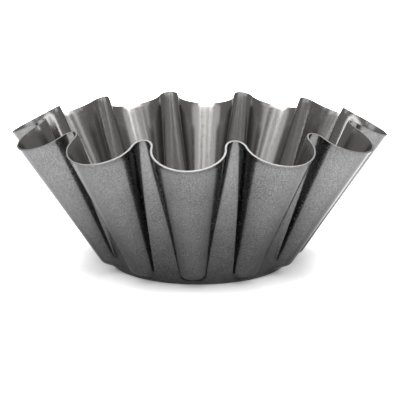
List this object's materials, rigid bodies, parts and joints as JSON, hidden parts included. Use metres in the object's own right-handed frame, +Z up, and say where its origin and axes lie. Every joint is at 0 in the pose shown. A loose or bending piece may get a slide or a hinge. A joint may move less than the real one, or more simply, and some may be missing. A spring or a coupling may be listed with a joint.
{
  "type": "fluted cake mould",
  "caption": "Deep petal-shaped baking mould of pressed sheet steel: flared fluted wall, wavy rim, small round flat base, non-stick coat inside and out",
  "frame": {"origin": "centre of the flat underside", "axes": "+Z up out of the mouth; one lobe on each of -Y, +X, +Y and -X"},
  "size_m": [0.2198, 0.2198, 0.0886],
  "materials": {
    "bare_steel": "bare sheared edge, satin",
    "inner_coating": "metallic grey non-stick coating, satin, fine speckle",
    "outer_coating": "charcoal non-stick coating, satin, fine speckle"
  },
  "bodies": {
    "root": {"steel_shell": "bare_steel", "inner_nonstick_coating": "inner_coating", "outer_nonstick_coating": "outer_coating"}
  },
  "joints": []
}
